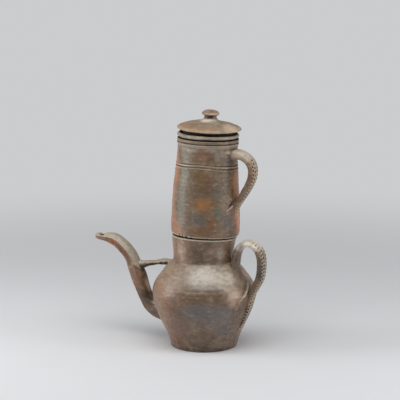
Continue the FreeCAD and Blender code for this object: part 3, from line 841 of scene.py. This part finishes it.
upperStrap = strap | {
    "seed": 41,
    "path": [(40.2, 287.3), (44, 288.5), (48.5, 289.4), (55.1, 288.7), (61.7, 285.8), (67.5, 281.3),
             (71.4, 275.2), (73, 268.1), (72.7, 260.8), (71.2, 253.9), (68.3, 247), (64.8, 239.9),
             (60.9, 232.7), (56.7, 225.4), (51.8, 217.3), (49.6, 211), (48.6, 205), (47.4, 199),
             (46.4, 196)],
    "sections": [(0, 1.10, 1.70), (0.06, 1.06, 1.50), (0.12, 1, 1.30), (0.20, 1, 1.16), (0.30, 1, 1.06),
                 (0.44, 1, 1), (0.58, 1, 0.98), (0.70, 0.96, 0.96), (0.80, 0.86, 0.88), (0.90, 0.70, 0.74),
                 (1, 0.45, 0.5)],
    "dotRows": [(-2.2, 28, 128, 1), (-6.8, 36, 86, 0.4), (6, 28, 92, 0.8)],
}


def dottedRelief(form):
    def relief(points, distance, lateral, rise):
        push = unevenness(points, form) + drawn(points, lateral, form)
        aside, length = form["dotWander"]
        radius, soft = form["dotRadius"], form["dotFade"]
        outer, inner = form["dotSlope"]
        proud, place, half = form["dotLip"]
        for middle, start, end, strength in form["dotRows"]:
            along = (distance - start) % form["dotPitch"] - form["dotPitch"] / 2
            wander = middle + aside * np.sin(distance / length + form["seed"])
            gap = np.hypot(along, (lateral - wander) * form["dotSquash"])
            inside = band(start - soft, start + soft, end - soft, end + soft, distance)
            dot = fade(radius * outer, radius * inner, gap) * form["dotDepth"]
            lip = proud * hump(gap, radius * place, half)
            push = push + (lip - dot) * strength * inside * fade(*form["dotFace"], rise)
        return push - form["trim"]
    return relief


def tailSwing(points):
    swung = points.copy()
    share = fade(*lowerStrap["tailHeight"], points[..., 2]) * fade(*lowerStrap["tailReach"], points[..., 0])
    swung[..., 1] += lowerStrap["tailSwing"] * share
    return swung


def pulledStrap(name, form, warp):
    sections = sized(form, form["halfWidth"], form["halfThickness"])
    return pulledLimb(name, inPlane(form), sections, form, dottedRelief(form), warp)


potHandle = pulledStrap("potHandle", lowerStrap, tailSwing)
filterHandle = pulledStrap("filterHandle", upperStrap, tipped)
strapClay = firedClay("strapClay", **strap["clay"])
print("handles pulled")


# Filter chamber: a slightly waisted tube with a shelf and a collar that drops into the pot's neck
chamber = {
    "collarEnd": [(33.8, 156), (34.4, 155.3), (37.6, 155.3), (38.2, 156)],
    "collar": [(38.2, 156), (38.2, 166)],
    "under": [(38.2, 166), (42, 166), (45, 166.1), (47.1, 166.5), (48.1, 167.1)],
    "foot": [(48.1, 167.1), (48.8, 167.8), (49.1, 169)],
    "outside": [(49.1, 169), (49.7, 173.4), (49.9, 185.4), (49.4, 198.3), (49.2, 212.6), (48, 231.9),
                (46.4, 251.2), (45.2, 265.5), (44.1, 281.2), (43.7, 294.1), (43.7, 299.2)],
    "ridge": [(43.7, 299.2), (44.2, 301), (44.9, 302.4), (44.5, 303.6)],
    "groove": [(44.5, 303.6), (43.5, 304.2), (43.2, 304.7), (43.9, 305.3)],
    "mouth": [(43.9, 305.3), (44.5, 306.4), (44.7, 308), (44.2, 309.3)],
    "lip": [(44.2, 309.3), (43.3, 309.7), (42.4, 309), (41.4, 308.4), (40.2, 308.3)],
    "inside": [(40.2, 308.3), (38.9, 307.2), (38.7, 304), (38.7, 294.1), (39.1, 281.2), (40.2, 265.5),
               (41.4, 251.2), (43, 231.9), (44.2, 212.6), (44.4, 198.3), (44.7, 185.4), (44.2, 177),
               (43.4, 172)],
    "shelf": [(43.4, 172), (42.8, 171.49), (34.4, 171.49), (33.8, 170.9)],
    "hole": [(33.8, 170.9), (33.8, 156)],
    # painted shade under the chamber, in the groove, over the lip and inside; painted highlight on the foot,
    # ridge and mouth
    "runs": [("collarEnd", 1.6, 0, 0), ("collar", 1.6, 0, 0), ("under", 0.6, 0.4, 0.9),
             ("foot", 0.5, 0.5, -0.5), ("outside", 0.8, 1, 0), ("ridge", 0.4, 0.5, -0.42),
             ("groove", 0.3, 0.5, 0.62), ("mouth", 0.4, 0.5, -0.25), ("lip", 0.4, 0.5, 0.95),
             ("inside", 2.4, 0.2, 0.2), ("shelf", 2, 0, 0), ("hole", 2, 0, 0)],
    "marks": [(-31, 224, -25.5, 217.5, 0.9, -0.8), (-22, 213.5, -10, 221.5, 2.4, -1.6),
              (-29, 209, -13, 215, 1.1, 0.9), (-25, 232, -14, 223.5, 1, 0.5),
              (-24, 293, -15, 290, 1.8, 0.8), (-34, 255, -22, 228, 1.1, 0.25),
              (-40, 252, -26, 224, 1, -0.3), (-46, 258, -30, 236, 1.1, 0.22), (-36, 244, -19, 219, 1, 0.22),
              (-118, 238, -100, 236.5, 1.2, 0.3), (-96, 192, -72, 190, 0.9, 0.3),
              (-92, 196.5, -70, 195.5, 0.8, -0.3), (-90, 187, -68, 186, 0.8, 0.3),
              (-122, 182, -96, 182.6, 1.3, -0.3), (-60, 180, -30, 179, 1.2, 0.3), (2, 201, 3, 172, 5, 0.7),
              (100, 240, 150, 236, 1.4, 0.35), (40, 205, 75, 208, 1.2, -0.3),
              (180, 262, 230, 260, 1.2, 0.3)],
    "chips": [(-113, 2.2, 1.8), (-106, 1.2, 3.2), (-99.5, 1.1, 2.8), (-96, 0.8, 2.0), (-88, 1.2, 0.9),
              (-60, 1.6, 0.6), (-30, 2.0, 0.6), (40, 2.6, 1.0), (150, 2.2, 0.8)],
    "chipHeight": (170.4, 167.4),    # chips (degrees, half width, depth) are only in the bottom edge
    "chipRadius": (44, 46.5),
    "lines": (273.2, 268.8),    # heights of the incised double line
    "lineHalf": 0.8,
    "lineDepth": 0.62,
    "lineLips": [(0.50, -1.8, 0.7), (0.16, 1.7, 0.7)],    # clay pushed up beside it, in half widths from it
    # cut freehand, it climbs at one side (degrees, mm, half width in degrees) and dips further round
    "lineClimb": (-76, 3.2, 40),
    "lineDip": (95, 0.6, 34.4),
    "lineDrop": 0.5,
    "lineWander": 0.25,
    "seed": 51,
    "lumps": [(0.42, 36), (0.20, 14), (0.10, 4)],
    "rings": (5.6, 0.17),
    "ringFade": (0.55, 42),
    "fineRings": (2.1, 0.07),
    "wall": (166.4, 168, 306, 309),    # heights between which the wall is uneven
    "trim": 0.12,
    "clay": {
        "tones": ((94, 75, 58), (116, 94, 73), (138, 116, 94)),
        "flashes": [(110, 0.6, 0.3, (140, 104, 80))],
        "ashAndTopLight": 0.5,
        "ashAndTopLightFrom": 0.25,
        "gloss": 0.37,
        "combed": 0.4,
        "size": 22.0,
        "stainsAndPaintedLight": [
            ((-40, -31, 200), (19, 19, 66), 0.85, (176, 120, 88)),
            ((-32, -31, 268), (18, 18, 46), 0.85, (184, 124, 90)),
            # grey-green tone with a painted sheen, down the left of the chamber here and on its right two
            # lines down
            ((-14, -43, 205), (12, 12, 76), 0.8, (118, 112, 98)),
            ((-10, -39, 268), (11, 11, 44), 0.8, (130, 124, 106)),
            ((34, -35, 234), (15, 15, 34), 0.8, (104, 98, 82)),
            ((12, -43, 296), (50, 50, 4.5), 0.7, (158, 152, 138)),
            ((20, -42, 289), (15, 15, 15), 0.8, (126, 86, 64)),
            ((39, -30, 287), (11, 11, 14), 0.8, (138, 128, 110)),
            ((18, -44, 256), (14, 14, 19), 0.90, (112, 84, 50)),
            ((27, -40, 250), (8, 8, 12), 0.85, (112, 74, 56)),
            ((22, -43, 238), (18, 18, 12), 0.80, (98, 76, 54)),
            ((31, -38, 246), (10, 10, 16), 0.70, (112, 82, 68)),
            ((22, -44, 217), (22, 22, 14), 0.95, (138, 96, 54)),
            ((20, -45, 218), (12, 12, 8.5), 0.85, (158, 106, 58)),
            ((43, -23, 256), (11, 11, 18), 0.65, (104, 88, 68)),
            # painted shadow under the handle's root, on a blue-grey patch
            ((48, -14, 279), (8, 9, 10), 0.80, (74, 70, 68)),
            # a pale smear with a painted glare on it
            ((46, -17, 292), (5, 7, 4), 0.5, (186, 178, 162)),
            ((50, 3, 246), (11, 14, 44), 0.95, (232, 160, 110)),
            ((49, -13, 216), (8, 8, 6), 0.95, (44, 38, 28)),
            ((39, -32, 203), (11, 11, 16), 0.85, (100, 98, 84)),
            ((46, -21, 192), (10, 10, 20), 0.85, (90, 77, 73)),
            ((13, -48, 195), (15, 15, 12), 0.9, (98, 90, 84)),
            ((31, -39, 191), (9, 9, 15), 0.85, (122, 80, 50)),
            ((18, -47, 178), (28, 24, 9), 0.90, (116, 80, 50)),
            ((-28, -42, 178), (26, 20, 20), 0.75, (172, 120, 90)),
            # painted highlight along the chamber's right edge
            ((47, 20, 181), (5, 5, 13), 0.6, (222, 196, 160)),
            ((49, 7, 190), (9, 13, 30), 0.95, (212, 138, 100)),
            ((38, -30, 172), (18, 18, 5), 0.60, (138, 116, 96)),
            ((10, 46, 230), (26, 20, 34), 0.5, (120, 96, 78)),
            ((-30, 36, 270), (24, 24, 24), 0.5, (112, 100, 90)),
        ],
    },
}


def incisedLines(turns, height):
    turn, climb, half = chamber["lineClimb"]
    further, dip, dipHalf = chamber["lineDip"]
    front = turnedFrom(turns, turn)
    stray = climb * hump(front, 0, math.radians(half)) - chamber["lineDrop"]
    stray -= dip * hump(front, math.radians(further), math.radians(dipHalf))
    push = 0
    for line in chamber["lines"]:
        wander = line + stray + chamber["lineWander"] * np.sin(turns * 2 + line)
        gap = (height - wander) / chamber["lineHalf"]
        push += sum(lip * hump(gap, middle, half) for lip, middle, half in chamber["lineLips"])
        push -= chamber["lineDepth"] * hump(gap, 0, 1)
    return push


def chamberRelief(points, turns, radius, height):
    push = unevenness(points, chamber) + fingerRings(points, turns, height, chamber)
    push += wheelRings(2 * turns, height, *chamber["fineRings"])
    push += strokes(turns, height, radius, chamber["marks"]) + incisedLines(turns, height)
    chips = sum(depth * hump(turnedFrom(turns, turn) * radius, 0, half)
                for turn, half, depth in chamber["chips"])
    chips *= fade(*chamber["chipHeight"], height) * fade(*chamber["chipRadius"], radius)
    return push * band(*chamber["wall"], height) - chips - chamber["trim"]


chamberBody = thrown("chamberBody", chamber, chamberRelief, lambda points: seamWarp(mouthWarp(points)))
chamberClay = firedClay("chamberClay", **chamber["clay"])
print("chamber thrown")


# Spreader: a dished ring that sits in the chamber's mouth, its floor pierced with holes
spreader = {
    "floorUnder": [(0, 295.2), (34.6, 295.2)],
    "bend": [(34.6, 295.2), (36.6, 296.4), (37.3, 299)],
    "side": [(37.3, 299), (37.3, 308.7)],
    "ledge": [(37.3, 308.7), (41.2, 308.7)],
    "seat": [(41.2, 308.7), (41.3, 309.2), (41.4, 310.4), (42, 311.4), (43.2, 311.9)],
    "bead": [(43.2, 311.9), (44.4, 312.8), (44.9, 314.2), (44.5, 315.6), (43.3, 316.7), (42, 316.9)],
    "lip": [(42, 316.9), (40.4, 316.3), (39.2, 314.9), (38.3, 313.2)],
    "slope": [(38.3, 313.2), (33.5, 299.6)],
    "floor": [(33.5, 299.6), (32.9, 299), (0, 299)],
    # painted shade in the seat and over the lip; painted highlight on the bead
    "runs": [("floorUnder", 2.2, 0, 0), ("bend", 2.2, 0, 0), ("side", 2.2, 0, 0), ("ledge", 2.2, 0, 0),
             ("seat", 0.5, 1, 1), ("bead", 0.5, 1, -0.3), ("lip", 0.5, 1, 1), ("slope", 1.6, 0.4, 0),
             ("floor", 1.6, 0.4, 0)],
    "holeRadius": 1.6,
    "holePitch": 8.2,
    "holeRings": 3,
    "holeSides": 20,
    "holeWobble": 0.06,
    "pegHeights": (290, 305),
    "seed": 61,
    "lumps": [(0.28, 24), (0.14, 9), (0.05, 3.5)],
    "rings": (1.9, 0.06),
    "trim": 0.1,
    "clay": {
        "tones": ((124, 106, 84), (150, 134, 112), (176, 162, 140)),
        "ashAndTopLight": 0.5,
        "size": 13.0,
        "stainsAndPaintedLight": [
            # painted shadow of the lid on the left of the bead
            ((-10, -38, 316), (14, 12, 4), 0.85, (92, 86, 72)),
            ((44, -14, 316), (12, 16, 10), 0.5, (186, 172, 152)),
            ((0, 0, 300), (34, 34, 8), 0.7, (112, 88, 68)),
        ],
    },
}


def spreaderRelief(points, turns, radius, height):
    return unevenness(points, spreader) + wheelRings(turns, height, *spreader["rings"]) - spreader["trim"]


def pegs():
    # the stick that pierced the wet clay, once per hole
    places = [(0.0, 0.0)]
    for ring in range(1, spreader["holeRings"] + 1):
        reach = spreader["holePitch"] * ring
        turns = [math.tau * i / (6 * ring) for i in range(6 * ring)]
        places += [(reach * math.cos(turn), reach * math.sin(turn)) for turn in turns]
    sides = spreader["holeSides"]
    points = []
    faces = []
    for number, (x, y) in enumerate(places):
        for level in spreader["pegHeights"]:
            for side in range(sides):
                turn = math.tau * side / sides
                wobble = spreader["holeRadius"] * (1 + spreader["holeWobble"] * math.sin(3 * turn + number))
                points.append((x + wobble * math.cos(turn), y + wobble * math.sin(turn), level))
        start = number * 2 * sides
        faces += ringFaces(2, sides, start)
        faces.append(tuple(start + side for side in reversed(range(sides))))
        faces.append(tuple(start + sides + side for side in range(sides)))
    return meshFrom("pegs", mouthWarp(np.array(points)), faces)


ringBody = cutBy(thrown("spreaderRing", spreader, spreaderRelief, mouthWarp), pegs())
ringClay = firedClay("ringClay", **spreader["clay"])
print("spreader thrown and pierced")


# Lid with a knob thrown on top
lid = {
    "ceiling": [(0, 330), (10, 330)],
    "slope": [(10, 330), (30.8, 320.6)],
    "collarInside": [(30.8, 320.6), (30.8, 308.6)],
    "collarEnd": [(30.8, 308.6), (31.4, 308), (34, 308), (34.6, 308.6)],
    "collar": [(34.6, 308.6), (34.6, 316)],
    "ledge": [(34.6, 316), (37.6, 316)],
    "recess": [(37.6, 316), (38.2, 316.5), (38.4, 320.4), (40, 321.2), (44.8, 321.5)],
    "edge": [(44.8, 321.5), (46.2, 321.9), (46.8, 322.6), (46.5, 323.4), (45.5, 324.2), (43.1, 325.7)],
    "dome": [(43.1, 325.7), (36.6, 328.2), (28.3, 330.4), (20.8, 332.1), (15, 333.4), (11, 334.6),
             (0, 334.8)],
    # painted shade in the recess under the lid; painted highlight along its edge
    "runs": [("ceiling", 2, 0, 0), ("slope", 2, 0, 0), ("collarInside", 2, 0, 0), ("collarEnd", 2, 0, 0),
             ("collar", 2, 0, 0), ("ledge", 2, 0, 0), ("recess", 0.6, 0.3, 1), ("edge", 0.45, 0.6, -0.36),
             ("dome", 0.7, 1, 0)],
    "seed": 71,
    "lumps": [(0.30, 22), (0.14, 8), (0.05, 3.5)],
    "rings": (4.6, 0.10),
    "fineRings": (1.9, 0.05),
    "trim": 0.25,
    "offCentre": (0.8, 0.4),    # it sits a little off centre, and its knob was thrown further off
    "clay": {
        "tones": ((116, 94, 70), (144, 120, 94), (168, 146, 120)),
        "flashes": [(-150, 0.5, 0.4, (170, 130, 96))],
        "ashAndTopLight": 0.12,
        "gloss": 0.30,
        "size": 16.0,
        "stainsAndPaintedLight": [
            ((-15, -32, 328), (20, 17, 9), 0.85, (172, 120, 78)),
            ((-10, -26, 331), (7, 5, 4), 0.7, (104, 98, 98)),
            ((0, -25, 331), (9, 9, 5), 0.6, (132, 104, 82)),
            ((20, -14, 332), (16, 16, 6), 0.6, (164, 156, 132)),
            ((46, -6, 325), (18, 26, 10), 0.8, (220, 188, 158)),
            ((20, -40, 324), (44, 16, 5), 0.85, (170, 126, 92)),
            # painted shadow under the knob's cap
            ((13, -8, 339.6), (10, 8, 4.8), 0.98, (44, 30, 24)),
            ((10, -8, 334.6), (18, 18, 2.5), 0.95, (236, 222, 206)),
            ((8, 0, 347), (16, 16, 5), 0.7, (152, 114, 92)),
            ((12, -2, 343.4), (17, 17, 1.8), 0.75, (214, 192, 168)),
            ((9, -1, 350), (6, 6, 3), 0.6, (150, 100, 84)),
        ],
    },
}
knob = {
    "base": [(0, 334), (11.6, 333.6)],
    "stem": [(11.6, 333.6), (12, 334.2), (11, 335.2), (9.9, 336.6), (9.1, 338.6), (9.3, 340.6),
             (10.6, 341.6), (12.2, 342.4), (12.9, 343.4), (12.9, 344.3), (12.2, 345.4), (10.6, 346.7),
             (8.6, 347.8), (6.4, 348.5), (3.4, 349), (1.4, 349.15), (0, 349.2)],
    "runs": [("base", 2.0, 0, 0), ("stem", 0.4, 1, 0)],
    "steps": 160,
    "seed": 81,
    "lumps": [(0.22, 11), (0.12, 5), (0.04, 2)],
    "rings": (3.4, 0.12),
    "crown": (345, 347),    # heights and radii above which its top has rings
    "crownRadius": (1, 3),
    "trim": 0.15,
    "offCentre": (1.9, 0.9),
}


def setOff(form):
    def warp(points):
        return tipped(points) + (*form["offCentre"], 0)
    return warp


def lidRelief(points, turns, radius, height):
    spiral = wheelRings(turns, radius, *lid["rings"]) + wheelRings(-turns, radius, *lid["fineRings"])
    return unevenness(points, lid) + spiral - lid["trim"]


def knobRelief(points, turns, radius, height):
    crown = fade(*knob["crown"], height) * fade(*knob["crownRadius"], radius)
    return unevenness(points, knob) + crown * wheelRings(turns, radius, *knob["rings"]) - knob["trim"]


lidBody = thrown("lidBody", lid, lidRelief, setOff(lid))
lidKnob = thrown("lidKnob", knob, knobRelief, setOff(knob))
lidClay = firedClay("lidClay", **lid["clay"])
print("lid and knob thrown")


# Joining the clay: the bore runs through the pot's wall, the spout ends on it, and the mouth is cut open
core = {
    "bottom": [(0, 0.4), (30, 0.4), (47.4, 0.4)],
    "outside": pot["outside"],
    "top": [(47.2, 162.4), (0, 162.4)],
    "runs": [("bottom", 3, 0, 0), ("outside", 0.9, 1, 0), ("top", 4, 0, 0)],
    "inset": 0.35,    # how far the spout runs on into the pot's wall
}
potBody = cutBy(potBody, boreTool("throughWall"))
potSpout = cutBy(potSpout, boreTool("bore"))
potSpout = cutBy(potSpout, thrown("core", core, lambda *given: potRelief(*given) - core["inset"], potWarp))
potSpout = cutBy(potSpout, mouthTool())
print("joined")

placed(potBody, "pot", "pot_clay", potClay, "pot_body")
placed(potSpout, "pot", "spout_clay", spoutClay, "pot_spout")
placed(spoutBrace, "pot", "spout_clay", braceClay, "spout_brace")
placed(potHandle, "pot", "strap_clay", strapClay, "pot_handle")
placed(filterHandle, "filter", "strap_clay", strapClay, "filter_handle")
placed(chamberBody, "filter", "chamber_clay", chamberClay, "filter_body")
placed(ringBody, "spreader", "ring_clay", ringClay, "spreader")
placed(lidBody, "lid", "lid_clay", lidClay, "lid")
placed(lidKnob, "lid", "lid_clay", lidClay, "lid_knob")
bare = {
    "tones": ((140, 112, 88), (156, 128, 104), (170, 146, 122)),
    "ashAndTopLight": 0.1,
    "gloss": 0.75,
    "size": 14.0,
}
bareClay = firedClay("bareClay", **bare)
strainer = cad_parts["filter_floor"]
strainer.data.materials.clear()
strainer.data.materials.append(bareClay)


# Pale table and backdrop, sizes in metres
studio = {
    "floorColour": (236, 237, 239),
    "floorShade": 3,    # how much darker its cloudy parts are
    "floorRings": (0.3, 1.5, 14.0),
    "floorSides": 96,
    "backColour": (203, 204, 206),
    "backFrom": (280, 1300),    # the floor turns into the backdrop over this distance, in mm
    "worldColour": (0.96, 0.98, 1.0, 1.0),
    "worldPower": 0.24,
    # lamps: to the right, towards the camera and up; width, height, power
    "lamps": {
        "overhead": (0, 0.55, 1.35, 1.4, 1.0, 10.5),
        "leftStrip": (-0.9215, 0.095, 0.35, 0.4, 1.0, 4.9),
        "rightStrip": (0.893, 0.323, 0.4, 0.3, 0.8, 2.5),
    },
    "lampTarget": 0.17,    # height that the lamps point at
    "viewTurn": 26,    # degrees from the plane of spout and handles
    "viewDistance": 2.5,
    "viewHeight": 0.7,
    "viewDown": 10.955,    # degrees that the camera looks down
    "viewLeft": 0.137,    # and to the left
    "lens": 157.75,
}


def paleFloor():
    # a matt table near the pot, and further off the plain backdrop
    material = bpy.data.materials.new("paleTable")
    material.use_nodes = True
    tree = material.node_tree
    shader = tree.nodes["Principled BSDF"]
    place = placeOf(tree)
    shade = [c - studio["floorShade"] for c in studio["floorColour"]]
    colour = painted(tree, earth(studio["floorColour"]), shade, grain(tree, place, 60.0, 3.0, 0.5))
    tree.links.new(colour, shader.inputs["Base Color"])
    shader.inputs["Roughness"].default_value = 0.9
    shader.inputs["Specular IOR Level"].default_value = 0.1
    glow = node(tree, "ShaderNodeEmission", {"Color": earth(studio["backColour"]), "Strength": 1.0})
    far = spread(tree, reckonPlaces(tree, "LENGTH", place), *studio["backFrom"])
    ray = node(tree, "ShaderNodeLightPath")
    seen = reckon(tree, "MAXIMUM", ray.outputs["Is Camera Ray"], ray.outputs["Is Glossy Ray"])
    blend = node(tree, "ShaderNodeMixShader", {0: reckon(tree, "MULTIPLY", far, seen), 1: shader.outputs[0],
                                               2: glow.outputs[0]})
    tree.links.new(blend.outputs[0], tree.nodes["Material Output"].inputs["Surface"])
    return material


def tableTop():
    sides = studio["floorSides"]
    turns = np.linspace(0, math.tau, sides, endpoint=False)
    reach = np.array(studio["floorRings"])[:, None] / mm
    rings = aroundAxis(reach, turns, 0 * reach + 0 * turns).reshape(-1, 3)
    faces = ringFaces(len(reach), sides) + [((i + 1) % sides, i, len(rings)) for i in range(sides)]
    return meshFrom("table", np.vstack([rings, np.zeros(3)]), faces)


floor = tableTop()
floor.data.materials.append(paleFloor())


# Lamps: a broad softbox overhead, a tall strip at the left, a weaker one at the right
facing = math.radians(studio["viewTurn"])
towards = Vector((math.sin(facing), -math.cos(facing), 0))       # from the pot to the camera
rightward = Vector((math.cos(facing), math.sin(facing), 0))


def softbox(name, right, near, up, width, height, power):
    lamp = bpy.data.lights.new(name, "AREA")
    lamp.shape = "RECTANGLE"
    lamp.size = width
    lamp.size_y = height
    lamp.energy = power
    item = added(name, lamp)
    item.location = rightward * right + towards * near + Vector((0, 0, up))
    target = Vector((0, 0, studio["lampTarget"]))
    item.rotation_euler = (target - item.location).to_track_quat("-Z", "Y").to_euler()


def roomLight():
    # dim light from all round, and the backdrop's colour where the camera looks past the table
    world = bpy.data.worlds.new("studio")
    world.use_nodes = True
    tree = world.node_tree
    tree.nodes.clear()
    dim = node(tree, "ShaderNodeBackground", {0: studio["worldColour"], 1: studio["worldPower"]})
    pale = node(tree, "ShaderNodeBackground", {0: earth(studio["backColour"]), 1: 1.0})
    ray = node(tree, "ShaderNodeLightPath")
    seen = reckon(tree, "MAXIMUM", ray.outputs["Is Camera Ray"], ray.outputs["Is Transmission Ray"])
    blend = node(tree, "ShaderNodeMixShader", {0: seen, 1: dim.outputs[0], 2: pale.outputs[0]})
    node(tree, "ShaderNodeOutputWorld", {"Surface": blend.outputs[0]})
    return world


for name, row in studio["lamps"].items():
    softbox(name, *row)
bpy.context.scene.world = roomLight()
print("table and lamps set")


# Camera, as the photo's
camera = bpy.data.cameras.new("camera")
camera.sensor_width = 36
camera.lens = studio["lens"]
eye = added("camera", camera)
eye.location = towards * studio["viewDistance"] + Vector((0, 0, studio["viewHeight"]))
pitch = math.radians(studio["viewDown"])
turned = math.radians(studio["viewLeft"])
level = (-towards * math.cos(turned) - rightward * math.sin(turned)).normalized()
ahead = level * math.cos(pitch) + Vector((0, 0, -math.sin(pitch)))
across = ahead.cross(Vector((0, 0, 1))).normalized()
above = across.cross(ahead)
eye.rotation_euler = Matrix((across, above, -ahead)).transposed().to_euler()
bpy.context.scene.camera = eye
bpy.context.scene.view_settings.view_transform = "Standard"
print("camera set")
